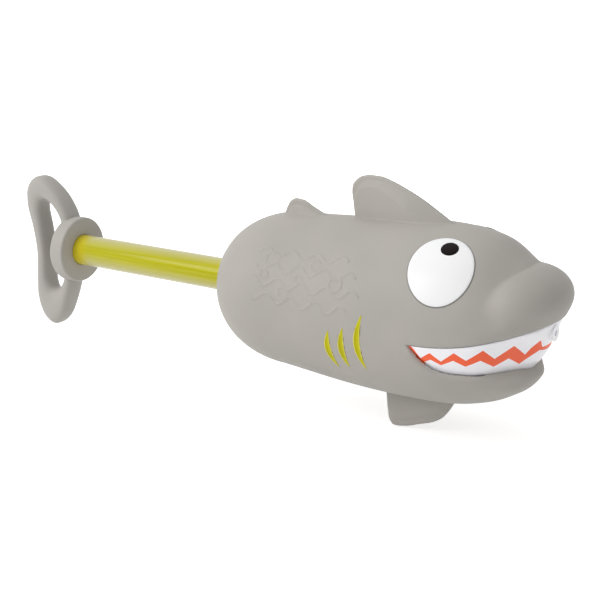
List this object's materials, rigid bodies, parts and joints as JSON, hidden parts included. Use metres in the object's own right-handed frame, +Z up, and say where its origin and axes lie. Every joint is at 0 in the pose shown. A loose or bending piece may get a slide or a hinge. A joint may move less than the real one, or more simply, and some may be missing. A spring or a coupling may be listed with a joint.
{
  "type": "water squirter",
  "caption": "Shark-shaped hand-pump water squirter: soft hollow body over a syringe barrel, plunger tube drawn out by a loop-shaped tail handle, nozzle in the mouth.",
  "frame": {"origin": "centre of the nozzle outlet, on the pump axis", "axes": "+X along the pump axis, the way the water leaves; +Z up, towards the dorsal fin; the shark's right side is at -Y"},
  "size_m": [0.3867, 0.1002, 0.1479],
  "materials": {
    "grey_vinyl": "soft satin vinyl",
    "grey_plastic": "satin",
    "white_plastic": "gloss",
    "eye_white": "gloss",
    "pupil_black": "high gloss",
    "gill_lime": "satin",
    "lime_plastic": "gloss, translucent",
    "natural_plastic": "moulded",
    "seal_rubber": "greased rubber",
    "screw_steel": "zinc plated"
  },
  "bodies": {
    "shark": {"body_skin": "grey_vinyl", "mouth_insert": "white_plastic", "nozzle_tip": "white_plastic", "nozzle_seal": "seal_rubber", "barrel": "natural_plastic", "front_cap": "natural_plastic", "front_cap_seal": "seal_rubber", "rear_cap": "grey_plastic", "rear_cap_screws": "screw_steel", "rod_bush": "white_plastic", "eye_left": "eye_white", "eye_right": "eye_white", "pupil_left": "pupil_black", "pupil_right": "pupil_black", "gills_left": "gill_lime", "gills_right": "gill_lime"},
    "seals": {"piston_seal_front": "seal_rubber", "piston_seal_rear": "seal_rubber"},
    "plunger": {"plunger_tube": "lime_plastic", "piston": "natural_plastic", "piston_pin": "screw_steel", "tube_plug": "lime_plastic", "tail_handle": "grey_plastic", "handle_screw": "screw_steel"}
  },
  "joints": [
    {"name": "plunger_slide", "type": "slide", "parent": "shark", "child": "seals", "axis": [1, 0, 0], "range_m": [0, 0.128]},
    {"name": "plunger_spin", "type": "hinge", "parent": "seals", "child": "plunger", "pos_m": [-0.26, 0, 0], "axis": [1, 0, 0], "continuous": true}
  ]
}
